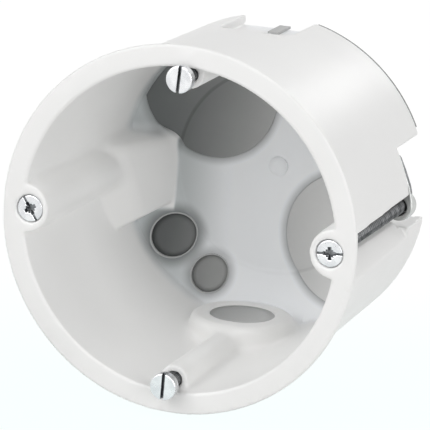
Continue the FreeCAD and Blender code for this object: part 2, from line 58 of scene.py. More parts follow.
NEAREST_SEEN = 50 * MM

ahead = Vector((-math.sin(VIEW_AZIMUTH) * math.cos(VIEW_ELEVATION),
                math.cos(VIEW_AZIMUTH) * math.cos(VIEW_ELEVATION),
                -math.sin(VIEW_ELEVATION)))
level_right = ahead.cross(Vector((0, 0, 1))).normalized()
level_up = level_right.cross(ahead)
right = math.cos(VIEW_ROLL) * level_right + math.sin(VIEW_ROLL) * level_up
up = right.cross(ahead)
camera_data = bpy.data.cameras.new("photo_camera")
camera_data.sensor_width = SENSOR
camera_data.lens = FOCAL_PIXELS / PHOTO_WIDTH * SENSOR
camera_data.clip_start = NEAREST_SEEN
camera = bpy.data.objects.new("photo_camera", camera_data)
camera.matrix_world = Matrix((right, up, -ahead)).transposed().to_4x4()
camera.location = EYE
bpy.context.scene.collection.objects.link(camera)
bpy.context.scene.camera = camera
bpy.context.scene.view_settings.view_transform = "Standard"


# Studio.
# Pale paper lies under the box and takes its soft shadow, with a faint cool painted shadow near the
# box as in the photo. Everything behind is white, and square softboxes stand round the box.
FLOOR_DROP = 37.5 * MM
FLOOR_SIZE = 3.0
PAPER = (0.76, 0.76, 0.755, 1)
# Painted shadow: the paper's glow turns faintly cool near the box, between these distances in mm.
COOL_PAINTED_SHADOW, WHITE = (0.93, 1.0, 0.99), (1.0, 1.0, 1.0)
PAINTED_SHADOW_START, PAINTED_SHADOW_END = 30, 160
PAPER_GLOW = 1.04
PAPER_GLOW_SHARE = 0.96
LAMP_DISTANCE = 1.0
LAMPS = (                # name, azimuth and elevation in degrees, size in metres, power in watts
    ("right_softbox", 50, 15, 0.6, 3.26),
    ("left_softbox", -30, 20, 0.6, 1.99),
    ("upper_softbox", 0, 45, 0.6, 2.0),
    ("upper_left_softbox", -50, 45, 0.6, 3.34),
    ("back_softbox", 165, 50, 0.5, 2.45),
    ("side_softbox", 95, 10, 0.6, 2.41),
    ("streak_softbox", 168, 22, 0.22, 0.55))


class Shade:
    """A value in a material's nodes. The usual operators add Math nodes."""

    def __init__(self, tree, socket=None):
        self.tree = tree
        self.socket = socket

    def node(self, kind, settings=None, inputs=None, output=0):
        """Add a node of any type, set it up, and give one of its outputs."""
        made = self.tree.nodes.new(kind)
        for name, value in (settings or {}).items():
            setattr(made, name, value)
        for name, value in (inputs or {}).items():
            if isinstance(value, Shade):
                self.tree.links.new(value.socket, made.inputs[name])
            else:
                made.inputs[name].default_value = value
        return Shade(self.tree, made.outputs[output])

    def math(self, operation, first, second):
        return self.node("ShaderNodeMath", {"operation": operation}, {0: first, 1: second})

    def __add__(self, other):
        return self.math("ADD", self, other)

    def __sub__(self, other):
        return self.math("SUBTRACT", self, other)

    def __rsub__(self, other):
        return self.math("SUBTRACT", other, self)

    def __mul__(self, other):
        return self.math("MULTIPLY", self, other)

    def step(self, low, high):
        """0 below low, 1 above high, and smooth between."""
        return self.node("ShaderNodeMapRange", {"interpolation_type": "SMOOTHSTEP"},
                         {"Value": self, "From Min": low, "From Max": high})

    def step_mm(self, low, high):
        """The same for a length, between two lengths in mm."""
        return self.step(low * MM, high * MM)

    def mix(self, colour_a, colour_b):
        """Colour a where this value is 0 and colour b where it is 1."""
        a = colour_a if isinstance(colour_a, Shade) else (*colour_a, 1)
        b = colour_b if isinstance(colour_b, Shade) else (*colour_b, 1)
        return self.node("ShaderNodeMix", {"data_type": "RGBA"},
                         {"Factor": self, 6: a, 7: b}, output=2)

    def length(self):
        return self.node("ShaderNodeVectorMath", {"operation": "LENGTH"}, {0: self}, output="Value")

    __radd__ = __add__
    __rmul__ = __mul__


def emptied(owner, output):
    """Start and surface socket of a material's or a world's nodes, with nothing else left."""
    owner.use_nodes = True
    owner.node_tree.nodes.clear()
    return Shade(owner.node_tree), owner.node_tree.nodes.new(output).inputs["Surface"]


def seen_directly(start):
    """1 for the camera, mirror images and glass, and 0 for the light that falls on the box."""
    seen = start.node("ShaderNodeLightPath", output="Is Camera Ray")
    mirrored = start.node("ShaderNodeLightPath", output="Is Glossy Ray")
    through = start.node("ShaderNodeLightPath", output="Is Transmission Ray")
    return start.math("MINIMUM", seen + mirrored + through, 1.0)


def floor_paper():
    """Matt paper that the camera and the metal see as nearly white."""
    material = bpy.data.materials.new("floor_paper")
    start, surface = emptied(material, "ShaderNodeOutputMaterial")
    matt = start.node("ShaderNodeBsdfDiffuse", {}, {"Color": PAPER})
    away = start.node("ShaderNodeTexCoord", output="Object").length()
    # painted shadow: a faint cool tint of the glow near the box
    tone = away.step_mm(PAINTED_SHADOW_START, PAINTED_SHADOW_END).mix(COOL_PAINTED_SHADOW, WHITE)
    glow = start.node("ShaderNodeEmission", {}, {"Color": tone, "Strength": PAPER_GLOW})
    paper = start.node("ShaderNodeMixShader", {},
                       {0: seen_directly(start) * PAPER_GLOW_SHARE, 1: matt, 2: glow})
    start.tree.links.new(paper.socket, surface)
    return material


def white_room():
    """World that is white to the camera and in reflections, and gives no other light."""
    world = bpy.data.worlds.new("white_room")
    bpy.context.scene.world = world
    start, surface = emptied(world, "ShaderNodeOutputWorld")
    glow = start.node("ShaderNodeEmission", {},
                      {"Color": (*WHITE, 1), "Strength": seen_directly(start)})
    start.tree.links.new(glow.socket, surface)


def softbox(name, azimuth, elevation, size, power):
    """Square lamp that faces the box."""
    lamp_data = bpy.data.lights.new(name, "AREA")
    lamp_data.size = size
    lamp_data.energy = power
    lamp = bpy.data.objects.new(name, lamp_data)
    a, e = math.radians(azimuth), math.radians(elevation)
    away = Vector((math.sin(a) * math.cos(e), -math.cos(a) * math.cos(e), math.sin(e)))
    lamp.location = away * LAMP_DISTANCE
    lamp.rotation_euler = (-away).to_track_quat("-Z", "Y").to_euler()
    bpy.context.scene.collection.objects.link(lamp)


floor_mesh = bpy.data.meshes.new("studio_floor")
floor_mesh.from_pydata([(-FLOOR_SIZE, -FLOOR_SIZE, -FLOOR_DROP), (FLOOR_SIZE, -FLOOR_SIZE, -FLOOR_DROP),
                        (FLOOR_SIZE, FLOOR_SIZE, -FLOOR_DROP), (-FLOOR_SIZE, FLOOR_SIZE, -FLOOR_DROP)],
                       [], [(0, 1, 2, 3)])
floor_mesh.materials.append(floor_paper())
floor = bpy.data.objects.new("studio_floor", floor_mesh)
bpy.context.scene.collection.objects.link(floor)
white_room()
for lamp_values in LAMPS:
    softbox(*lamp_values)


# Moulded shell.
# Injection moulded in one piece from white plastic: a rim that rests on the wall, a tapered body,
# and a cone floor with a flat disc. Its field of distances in mm lets the forms run together.
shell_low, shell_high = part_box("box_shell")
RIM_RADIUS = shell_high.x / MM
RIM_FRONT = shell_low.y / MM
FLOOR_BACK = shell_high.y / MM
OPENING_RADIUS = 31.7
OPENING_DRAFT = 0.2
BODY_FRONT_RADIUS = 33.8
BODY_BACK_RADIUS = 32.7
LAND_LENGTH = 5.0
BODY_DEPTH = 51.0
WALL = 2.1
FLOOR_EDGE_DEPTH = 48.7
FLOOR_EDGE_RADIUS = BODY_BACK_RADIUS - WALL
DISC_DEPTH = 53.3
DISC_RADIUS = 20.9
DISC_STEP = 0.4
STEP_OUTER, STEP_INNER = 0.3, -0.1          # where the disc's step starts and ends
FLOOR_THICKNESS = FLOOR_BACK - DISC_DEPTH
SKIRT_RADIUS = 31.1
EDGE_ROUNDING = 0.22
RIM_ROUNDING = 0.5
PAST_AXIS = -5
FREE_FRONT = RIM_FRONT - 9
GRID_STEP = 0.32
SHELL_SHARE = 0.27                          # of the grid's triangles
SIDES = (1, -1)


class Lattice:
    """Even grid of points in mm, on which solids are fields of distances."""

    MARGIN = 4         # steps round the piece
    BAND = 3           # steps of true distance on each side of the skin

    def __init__(self, low, high, step):
        self.step = step
        self.axes = [np.arange(a - self.MARGIN * step, b + self.MARGIN * step, step, dtype=np.float32)
                     for a, b in zip(low, high)]
        self.x = self.axes[0][:, None, None]
        self.y = self.axes[1][None, :, None]
        self.z = self.axes[2][None, None, :]
        self.across = np.hypot(self.x, self.z)

    def cast(self, name, field, materials, share, place=(0, 0, 0)):
        """Skin of a field as a smooth piece, thinned to a share of its faces."""
        band = self.BAND * self.step
        grid = openvdb.FloatGrid(band)
        grid.copyFromArray(np.ascontiguousarray(np.clip(field, -band, band), dtype=np.float32))
        points, triangles, quads = grid.convertToPolygons(isovalue=0.0, adaptivity=0.0)
        corner = np.array([axis[0] for axis in self.axes]) + np.array(place)
        points = (points * self.step + corner) * MM
        mesh = bpy.data.meshes.new(name)
        mesh.from_pydata(points, [], triangles.tolist() + quads[:, ::-1].tolist())
        for material in materials:
            mesh.materials.append(material)
        piece = bpy.data.objects.new(name, mesh)
        bpy.context.scene.collection.objects.link(piece)
        thin = piece.modifiers.new("thin", "DECIMATE")
        thin.ratio = share
        view = bpy.context.evaluated_depsgraph_get()
        thinned = bpy.data.meshes.new_from_object(piece.evaluated_get(view))
        piece.modifiers.clear()
        piece.data = thinned
        thinned.shade_smooth()
        return piece


def outline_distance(u, v, corners):
    """Distance to a closed outline of (u, v) corners, negative inside."""
    nearest = np.float32(1e9)
    inside = np.zeros((1, 1, 1), bool)
    for (u0, v0), (u1, v1) in zip(corners, corners[1:] + corners[:1]):
        du, dv = u1 - u0, v1 - v0
        along = np.clip(((u - u0) * du + (v - v0) * dv) / (du * du + dv * dv), 0, 1)
        nearest = np.minimum(nearest, (u - u0 - du * along) ** 2 + (v - v0 - dv * along) ** 2)
        if dv:
            inside = inside ^ (((v0 > v) != (v1 > v)) & (u < du * (v - v0) / dv + u0))
    return np.where(inside, -1, 1) * np.sqrt(nearest)


def inset(corners, amount):
    """The outline moved inwards; its corners run anticlockwise in u, v."""
    moved = []
    count = len(corners)
    for k in range(count):
        before, here, after = (Vector(corners[j % count]) for j in (k - 1, k, k + 1))
        a = (here - before).normalized()
        b = (after - here).normalized()
        normal_a, normal_b = Vector((-a.y, a.x)), Vector((-b.y, b.x))
        moved.append(tuple(here + (normal_a + normal_b) * (amount / (1 + normal_a.dot(normal_b)))))
    return moved


def blend(a, b, reach):
    """Union of two shapes with a fillet that starts that far from both."""
    near = np.maximum(reach - np.abs(a - b), 0) / reach
    return np.minimum(a, b) - near * near * reach * 0.25


def shared(a, b, reach):
    """What lies in both shapes, with its new edges rounded."""
    return -blend(-a, -b, reach)


def without(a, b, reach):
    """The first shape less the second, with its new edges rounded."""
    return shared(a, -b, reach)


def between(value, low, high):
    """Slab between two planes."""
    return np.maximum(low - value, value - high)


def rise(value, low, high):
    """0 below low, 1 above high, and smooth between."""
    t = np.clip((value - low) / (high - low), 0, 1)
    return t * t * (3 - 2 * t)


def floor_depth(radius):
    """Depth of the inner face of the cone floor at a radius."""
    fall = (DISC_DEPTH - FLOOR_EDGE_DEPTH) / (FLOOR_EDGE_RADIUS - DISC_RADIUS)
    return DISC_DEPTH - fall * (radius - DISC_RADIUS)


room = Lattice(shell_low / MM, shell_high / MM, GRID_STEP)
X, Y, Z, RADIUS = room.x, room.y, room.z, room.across
hull_outline = [
    (PAST_AXIS, RIM_FRONT), (RIM_RADIUS, RIM_FRONT), (RIM_RADIUS, 0), (BODY_FRONT_RADIUS, 0),
    (BODY_FRONT_RADIUS, LAND_LENGTH), (BODY_BACK_RADIUS, BODY_DEPTH), (SKIRT_RADIUS, BODY_DEPTH),
    (SKIRT_RADIUS, floor_depth(SKIRT_RADIUS) + FLOOR_THICKNESS), (DISC_RADIUS, FLOOR_BACK),
    (PAST_AXIS, FLOOR_BACK)]
hollow_outline = [
    (PAST_AXIS, FREE_FRONT), (OPENING_RADIUS + OPENING_DRAFT, FREE_FRONT), (OPENING_RADIUS, RIM_FRONT),
    (FLOOR_EDGE_RADIUS, FLOOR_EDGE_DEPTH), (DISC_RADIUS + STEP_OUTER, DISC_DEPTH - DISC_STEP),
    (DISC_RADIUS + STEP_INNER, DISC_DEPTH), (PAST_AXIS, DISC_DEPTH)]
hull = outline_distance(RADIUS, Y, inset(hull_outline, EDGE_ROUNDING)) - EDGE_ROUNDING
shell = without(hull, outline_distance(RADIUS, Y, hollow_outline), RIM_ROUNDING)

# Two large round openings of the floor, cut off beside the wall
LARGE_ENTRY_RADIUS = 13.3
LARGE_ENTRY_OFFSET = 20.0
LARGE_ENTRY_ANGLES = (133.8, -35.0)
LARGE_ENTRY_ROUNDING = 0.2
ENTRY_WALL_GAP = 0.5
FLOOR_CUT_START = FLOOR_EDGE_DEPTH - 6


def large_entry_place(angle):
    a = math.radians(angle)
    return LARGE_ENTRY_OFFSET * math.cos(a), LARGE_ENTRY_OFFSET * math.sin(a)


for angle in LARGE_ENTRY_ANGLES:
    x, z = large_entry_place(angle)
    opening = np.maximum(np.hypot(X - x, Z - z) - LARGE_ENTRY_RADIUS,
                         RADIUS - (FLOOR_EDGE_RADIUS - ENTRY_WALL_GAP))
    shell = without(shell, np.maximum(opening, FLOOR_CUT_START - Y), LARGE_ENTRY_ROUNDING)

# Housings of the clamping screws: a round rib, creased into the wall on the claw's side
EAR_EDGE = 26.7
EAR_DEPTH = 4
RIB_EDGE = 26.4
RIB_RADIUS = 4.8
RIB_START = RIM_FRONT - 3
RIB_END = 38.8
RIB_CREASE = 0.4
RIB_VALLEY = 2.2
VALLEY_SIDE = (-1, 3)
VALLEY_START = (0, 3)


def rib(side):
    centre = RIB_RADIUS + EAR_EDGE - (EAR_EDGE - RIB_EDGE) * np.clip((Y - RIM_FRONT) / EAR_DEPTH, 0, 1)
    barrel = np.hypot(side * X - centre, Z) - RIB_RADIUS
    return np.maximum(barrel, between(Y, RIB_START, RIB_END))


def rib_fillet(side):
    """Wide on the side of the valley, and narrow on the claw's side and at the rim."""
    return RIB_CREASE + (RIB_VALLEY - RIB_CREASE) * rise(-side * Z, *VALLEY_SIDE) * rise(Y, *VALLEY_START)


# Recess that holds the folded claw: its lining shows inside as a sloping block
CLAW_SCREW_X = 30.5
POCKET_FRONT = 36.8
POCKET_WALL = 1.5
POCKET_BACK_WALL = 1.0
POCKET_HIGH_WALL = 1.725
POCKET_RIDGE = 37.9
POCKET_FLOOR_FRONT = 27.2
POCKET_LOW_SIDE = 4.2
POCKET_HIGH_SIDE = 6.9
POCKET_SLOPE = 0.57
POCKET_SLANT = 0.3
POCKET_STEP = 4.5
POCKET_CREST = 12.4
POCKET_STEEPNESS = 0.85
STEEPER_UP = 0.03
RIDGE_TURN = 0.43
RIDGE_LEAN = 0.15
RIDGE_ROUNDING = 0.9
HIGH_ROUNDING, LOW_ROUNDING = 0.5, 3.0
RECESS_ROUNDING, MOUTH_ROUNDING = 0.4, 0.3
FOOT_INSET, FOOT_SINK = 0.1, 0.4            # from the disc's edge to the foot of the ramp
SLOPE_START = DISC_RADIUS - 0.2


def ridge_faces(side, back):
    """Front face and ramp of the block, moved back by so much; their ridge leans over."""
    out, across = side * X, side * Z
    ridge = POCKET_FLOOR_FRONT - POCKET_WALL - RIDGE_LEAN * across
    depth = POCKET_RIDGE + RIDGE_TURN * across
    steep = POCKET_STEEPNESS + STEEPER_UP * np.maximum(across, 0)
    front = (depth - steep * (out - ridge) + back - Y) / np.sqrt(1 + steep * steep)
    run, drop = ridge - DISC_RADIUS + FOOT_INSET, DISC_DEPTH + FOOT_SINK - depth
    ramp = ((ridge - out) * drop + (depth - Y) * run) / np.hypot(run, drop) + back
    return front, np.maximum(ramp, DISC_RADIUS - FOOT_INSET + back - out)


def pocket_sides(side, low, high):
    """The straight side of the block and its sloping one."""
    slope = (side * Z - high - POCKET_SLOPE * (side * X - SLOPE_START)) / math.hypot(1, POCKET_SLOPE)
    return -low - side * Z, slope


def pocket_lining(side):
    front, ramp = ridge_faces(side, 0)
    low, high = pocket_sides(side, POCKET_LOW_SIDE + POCKET_WALL, POCKET_HIGH_SIDE + POCKET_HIGH_WALL)
    block = shared(shared(front, ramp, RIDGE_ROUNDING), high, HIGH_ROUNDING)
    return shared(block, low, LOW_ROUNDING)


def pocket_recess(side):
    """Recess outside; its front edge runs back towards the groove."""
    front, ramp = ridge_faces(side, POCKET_BACK_WALL)
    low, high = pocket_sides(side, POCKET_LOW_SIDE, POCKET_HIGH_SIDE)
    edge = POCKET_FRONT + POCKET_SLANT * (POCKET_CREST - np.maximum(side * Z, POCKET_STEP))
    block = shared(np.maximum(ramp, front), np.maximum(low, high), RECESS_ROUNDING)
    return shared(block, edge - Y, MOUTH_ROUNDING)


# Posts that take the device screws, and round seats of the side entries
DEVICE_SCREW_Z = 30.0
POST_RADIUS = 2.8
POST_FRONT = 1.5
SIDE_ENTRY_DEPTH = 38.3
SIDE_ENTRY_RADIUS = 6.5
BOSS_RADIUS = 10.4
BOSS_HEIGHT = 26.0
BOSS_SHOULDER = 1.6
NOTCH_FLOOR = 30.0
NOTCH_HALF_WIDTH = 7.3
NOTCH_WALL = 1.6
NOTCH_BACK = BODY_DEPTH + 2
RIB_TO_BLOCK, POST_TO_BOSS, POST_TO_WALL, NOTCH_TO_WALL = 1.6, 2.0, 1.8, 0.8     # fillets


def post(side):
    return np.maximum(np.hypot(X, Z - side * DEVICE_SCREW_Z) - POST_RADIUS,
                      between(Y, POST_FRONT, SIDE_ENTRY_DEPTH))


def boss(side):
    across = np.hypot(X, Y - SIDE_ENTRY_DEPTH) - (BOSS_RADIUS - BOSS_SHOULDER)
    under = BOSS_HEIGHT + BOSS_SHOULDER - side * Z
    outside = np.hypot(np.maximum(across, 0), np.maximum(under, 0))
    return np.minimum(np.maximum(across, under), 0) + outside - BOSS_SHOULDER


def notch_lining(side):
    return np.maximum(np.maximum(np.abs(X) - NOTCH_HALF_WIDTH - NOTCH_WALL,
                                 NOTCH_FLOOR - NOTCH_WALL - side * Z),
                      between(Y, SIDE_ENTRY_DEPTH, NOTCH_BACK))


for side in SIDES:
    shell = blend(shell, blend(rib(side), pocket_lining(side), RIB_TO_BLOCK), rib_fillet(side))
    shell = blend(shell, blend(post(side), boss(side), POST_TO_BOSS), POST_TO_WALL)
    shell = blend(shell, notch_lining(side), NOTCH_TO_WALL)
shell = np.maximum(shell, hull)

# Grooves, holes and recesses of the outside
GROOVE_RADIUS = 3.05
GROOVE_MOUTH = 14.5
GROOVE_LIP = 2.1
GROOVE_FRONT = 3.4
GROOVE_BACK = POCKET_FRONT + 4
GROOVE_MIDDLE = CLAW_SCREW_X - 0.3
OUTSIDE = 38.0
SCREW_HOLE_RADIUS = 1.65
SCREW_HOLE_SPARE = 2                        # past the groove's front
HEAD_SINK_RADIUS = 2.8
HEAD_SINK_DEPTH = 1.25
DEVICE_BORE_END = 21.5
SIDE_CUT_START = BOSS_HEIGHT - 5
CABLE_ENTRY_OFFSET = 25.6
CABLE_ENTRIES = ((4.3, 37.7), (3.6, 61.9))     # radius, and angle from the X axis
CUT_ROUNDING, HOLE_ROUNDING = 0.3, 0.15


def groove(side):
    barrel = np.hypot(X - side * CLAW_SCREW_X, Z) - GROOVE_RADIUS
    mouth = outline_distance(side * X, side * Z, [
        (GROOVE_MIDDLE, -GROOVE_RADIUS), (OUTSIDE, -GROOVE_MOUTH),
        (OUTSIDE, GROOVE_LIP), (GROOVE_MIDDLE, GROOVE_RADIUS)])
    return np.maximum(blend(barrel, mouth, CUT_ROUNDING), between(Y, GROOVE_FRONT, GROOVE_BACK))


def claw_screw_hole(side):
    across = np.hypot(X - side * CLAW_SCREW_X, Z)
    return np.minimum(np.maximum(across - SCREW_HOLE_RADIUS, Y - GROOVE_FRONT - SCREW_HOLE_SPARE),
                      np.maximum(across - HEAD_SINK_RADIUS, Y - HEAD_SINK_DEPTH))


def device_screw_hole(side):
    return np.maximum(np.hypot(X, Z - side * DEVICE_SCREW_Z) - SCREW_HOLE_RADIUS, Y - DEVICE_BORE_END)


def notch(side):
    """Flat recess outside the side entry, round in front and open at the back."""
    plan = np.where(Y > SIDE_ENTRY_DEPTH, np.abs(X), np.hypot(X, Y - SIDE_ENTRY_DEPTH)) - NOTCH_HALF_WIDTH
    hole = np.hypot(X, Y - SIDE_ENTRY_DEPTH) - SIDE_ENTRY_RADIUS
    return np.minimum(shared(plan, NOTCH_FLOOR - side * Z, CUT_ROUNDING),
                      np.maximum(hole, SIDE_CUT_START - side * Z))


def cable_place(side, angle):
    a = math.radians(angle)
    return side * CABLE_ENTRY_OFFSET * math.cos(a), side * CABLE_ENTRY_OFFSET * math.sin(a)


for side in SIDES:
    shell = without(shell, groove(side), CUT_ROUNDING)
    shell = without(shell, claw_screw_hole(side), HOLE_ROUNDING)
    shell = without(shell, pocket_recess(side), CUT_ROUNDING)
    shell = without(shell, device_screw_hole(side), HOLE_ROUNDING)
    shell = without(shell, notch(side), CUT_ROUNDING)
    for radius, angle in CABLE_ENTRIES:
        x, z = cable_place(side, angle)
        hole = np.maximum(np.hypot(X - x, Z - z) - radius, FLOOR_CUT_START - Y)
        shell = without(shell, hole, HOLE_ROUNDING)

# Finish of the plastic: the thin floor is painted lighter and cooler as light through it, darker towards the
# left as painted shade, and darker round the openings where the dark behind shows through, partly painted
# shade
PAINTED_GLOW = 0.065                      # painted light: a faint glow of the plastic, standing in for light that the thin white walls let through
CLOUD_FADE = (0.3, 0.7)                     # of the noise, from one tone to the other
PLASTIC_CLOUD = 45                          # cycles a metre
PLASTIC_SHINE = (160, 0.10, 0.32)           # cycles a metre, span and least of the roughness
PLASTIC_GRAIN = (700, 0.05, 0.0001)         # cycles a metre, strength and height of the grain
WALL_TONES = ((0.87, 0.868, 0.86), (0.89, 0.888, 0.88))
# Painted light: the floor's tone is lighter and cooler than the walls'.
PAINTED_LIGHT_FLOOR_TONE = (0.925, 0.94, 0.96)
# Painted shade on the left side of the floor.
PAINTED_SHADE_TONE = (0.50, 0.53, 0.535)
DARK_BEHIND_AND_PAINTED_SHADE = (0.12, 0.13, 0.13)
FLOOR_FADE = (44.0, 49.7)                   # depths between which the wall turns into floor
FLOOR_RIM = (30.4, 31.0)
PAINTED_SHADE_FADE = (-21.5, -7.5)                    # along X: painted shade, darker towards the left side of the floor
PAINTED_SHADE_SHARE = 0.95
BLOCK_OUTER, BLOCK_LOW, BLOCK_HIGH = (-21.2, -20.6), (-11.2, -9.8), (4, 8)     # left block in X and Z
LARGE_HALO, WIDE_HALO, NARROW_HALO = (2.0, 0.5), (3.0, 0.8), (2.4, 0.5)        # reach and strength of the dark round each opening, partly painted shade


def new_finish(name, metallic=0.0):
    """A material with its shader, and a Shade to start expressions from."""
    material = bpy.data.materials.new(name)
    material.use_nodes = True
    shader = material.node_tree.nodes["Principled BSDF"]
    shader.inputs["Metallic"].default_value = metallic
    return material, shader, Shade(material.node_tree)


def link(shader, socket, shade):
    shade.tree.links.new(shade.socket, shader.inputs[socket])


def noise(start, scale, detail=2.0):
    """Noise in the object's own metres; scale is in cycles a metre."""
    place = start.node("ShaderNodeTexCoord", output="Object")
    return start.node("ShaderNodeTexNoise", {}, {"Vector": place, "Scale": scale, "Detail": detail})


def clouds(start, scale, tones):
    """Colour that wanders between two tones."""
    return noise(start, scale, 3).step(*CLOUD_FADE).mix(*tones)


def dulled(shader, start, scale, span, least):
    """Roughness that wanders between the least and a span above it."""
    link(shader, "Roughness", noise(start, scale) * span + least)


def grained(shader, start, scale, strength, distance):
    """Fine grain of the surface, as a bump."""
    link(shader, "Normal", start.node("ShaderNodeBump", {}, {
        "Height": noise(start, scale), "Strength": strength, "Distance": distance}))


def flat_place(start):
    """Place on the object along X, along Z, and both as a vector without its depth."""
    place = start.node("ShaderNodeTexCoord", output="Object")
    across, upward = (start.node("ShaderNodeSeparateXYZ", {}, {"Vector": place}, output=axis)
                      for axis in "XZ")
    return across, upward, start.node("ShaderNodeCombineXYZ", {}, {"X": across, "Z": upward})


def dark_behind_and_painted_shade(start, flat):
    """1 at the edges of the round openings, fading out over the halo of each: partly the dark behind the thin
    floor, partly painted shade.
    """
    entries = [(LARGE_ENTRY_RADIUS, large_entry_place(angle), LARGE_HALO) for angle in LARGE_ENTRY_ANGLES]
    entries += [(radius, cable_place(side, angle), halo) for side in SIDES
                for (radius, angle), halo in zip(CABLE_ENTRIES, (WIDE_HALO, NARROW_HALO))]
    clear = 1.0
    for radius, (x, z), (reach, strength) in entries:
        away = start.node("ShaderNodeVectorMath", {"operation": "DISTANCE"},
                          {0: flat, 1: (x * MM, 0, z * MM)}, output="Value")
        clear = (1 - strength * (1 - away.step_mm(radius, radius + reach))) * clear
    return 1 - clear


def moulded_plastic():
    material, shader, start = new_finish("moulded_plastic")
    shader.inputs["Emission Strength"].default_value = PAINTED_GLOW
    across, upward, flat = flat_place(start)
    place = start.node("ShaderNodeTexCoord", output="Object")
    inward = start.node("ShaderNodeSeparateXYZ", {}, {"Vector": place}, output="Y")
    block = (1 - across.step_mm(*BLOCK_OUTER)) * upward.step_mm(*BLOCK_LOW)
    block = block * (1 - upward.step_mm(*BLOCK_HIGH))
    floor_part = inward.step_mm(*FLOOR_FADE) * (1 - block) * (1 - flat.length().step_mm(*FLOOR_RIM))
    # painted shade: the floor darkens towards its left side
    painted_shade = floor_part * (1 - across.step_mm(*PAINTED_SHADE_FADE)) * PAINTED_SHADE_SHARE
    # painted light: the floor's lighter, cooler tone
    colour = floor_part.mix(clouds(start, PLASTIC_CLOUD, WALL_TONES), PAINTED_LIGHT_FLOOR_TONE)
    colour = painted_shade.mix(colour, PAINTED_SHADE_TONE)
    # partly painted shade: darker round the openings
    colour = (floor_part * dark_behind_and_painted_shade(start, flat)).mix(colour, DARK_BEHIND_AND_PAINTED_SHADE)
    link(shader, "Base Color", colour)
    # Painted light: the plastic glows faintly in its own colour.
    link(shader, "Emission Color", colour)
    dulled(shader, start, *PLASTIC_SHINE)
    grained(shader, start, *PLASTIC_GRAIN)
    return material


plastic = moulded_plastic()
moulded_shell = room.cast("moulded_shell", shell, [plastic], SHELL_SHARE)
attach(moulded_shell, "box")
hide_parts("box_shell")


# Raised details of the floor.
# A thin ring stands round each small cable entry, and a shallow dome in the middle of the disc
# marks where the mould was filled. Both belong to the shell's moulding.
RING_WALL = 0.28
RING_HEIGHT = 0.35
RING_ROOT = 0.4
RING_STEPS = 72
RING_PROFILE = ((0, -RING_ROOT), (0, 0.6 * RING_HEIGHT), (0.3, RING_HEIGHT),       # share of the wall, height
                (0.7, RING_HEIGHT), (1, 0.6 * RING_HEIGHT), (1, -RING_ROOT))
# Painted shade: grey tones of the white rings, and the colour of their painted glow.
RING_SHADE_TONES = ((0.38, 0.39, 0.39), (0.44, 0.45, 0.45))
RING_PAINTED_GLOW = (1, 1, 1, 1)
ENDS = ((1, "top"), (-1, "bottom"))
ENTRY_WORDS = ("wide", "narrow")
GATE_RADIUS = 2.0
GATE_HEIGHT = 0.8
GATE_TIP = 0.01
GATE_X, GATE_Z = 0.6, 1.2
GATE_ROWS, GATE_STEPS = 7, 48


def round_turn(steps):
    return np.linspace(0, 2 * math.pi, steps, endpoint=False)


def swept(name, rows, material, closed):
    """Smooth skin over rows of points in mm, with the last row joined to the first if closed."""
    count = len(rows[0])
    points = [Vector(point) * MM for row in rows for point in row]
    faces = []
    for k in range(len(rows) if closed else len(rows) - 1):
        a, b = k * count, (k + 1) % len(rows) * count
        faces += [(a + j, a + (j + 1) % count, b + (j + 1) % count, b + j) for j in range(count)]
    if not closed:
        faces += [tuple(range(count)), tuple(range(len(points) - count, len(points)))]
    mesh = bpy.data.meshes.new(name)
    mesh.from_pydata(points, [], faces)
    mesh.materials.append(material)
    made = bmesh.new()
    made.from_mesh(mesh)
    bmesh.ops.recalc_face_normals(made, faces=made.faces)
    made.to_mesh(mesh)
    made.free()
    mesh.shade_smooth()
    piece = bpy.data.objects.new(name, mesh)
    bpy.context.scene.collection.objects.link(piece)
    return piece


def cable_ring(name, side, radius, angle):
    """Ring with a round crest that follows the cone of the floor."""
    x, z = cable_place(side, angle)
    rows = []
    for a in round_turn(RING_STEPS):
        row = []
        for out, height in RING_PROFILE:
            r = radius + out * RING_WALL
            px, pz = x + r * math.cos(a), z + r * math.sin(a)
            row.append((px, floor_depth(math.hypot(px, pz)) - height, pz))
        rows.append(row)
    return swept(name, rows, ring_plastic, True)


def painted_shade_plastic():
    """The same plastic, painted grey as shade beside the dark openings, with a painted glow."""
    material, shader, start = new_finish("painted_shade_plastic")
    shader.inputs["Emission Color"].default_value = RING_PAINTED_GLOW
    shader.inputs["Emission Strength"].default_value = PAINTED_GLOW
    link(shader, "Base Color", clouds(start, PLASTIC_CLOUD, RING_SHADE_TONES))
    dulled(shader, start, *PLASTIC_SHINE)
    return material


ring_plastic = painted_shade_plastic()
for side, word in ENDS:
    for (radius, angle), size in zip(CABLE_ENTRIES, ENTRY_WORDS):
        ring = cable_ring("entry_ring_%s_%s" % (word, size), side, radius, angle)
        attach(ring, "box")

gate_rows = []
for lean in np.linspace(0, math.pi / 2, GATE_ROWS):
    r, height = GATE_RADIUS * math.cos(lean) + GATE_TIP, GATE_HEIGHT * math.sin(lean)
    gate_rows.append([(GATE_X + r * math.cos(a), DISC_DEPTH - height, GATE_Z + r * math.sin(a))
                      for a in round_turn(GATE_STEPS)])
gate = swept("gate_mark", gate_rows, plastic, False)
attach(gate, "box")


# Soft membranes.
# Rubber-like sheets moulded into the openings of the floor and of both side entries. A cable is
# pushed through them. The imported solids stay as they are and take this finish.
MEMBRANE_CLOUD = 60
CLOUD_REACH = 4.0                           # how far the clouds move a tone along X
# Painted shade: a dark line on the rubber at the crease of the disc's edge.
CREASE_SHADE_WIDTH = 0.45
CREASE_SHADE_SHARE = 0.4
CREASE_SHADE_TONE = (0.05, 0.053, 0.053)
MEMBRANE_SHINE = (300, 0.12, 0.5)
MEMBRANE_GRAIN = (900, 0.08, 0.0001)


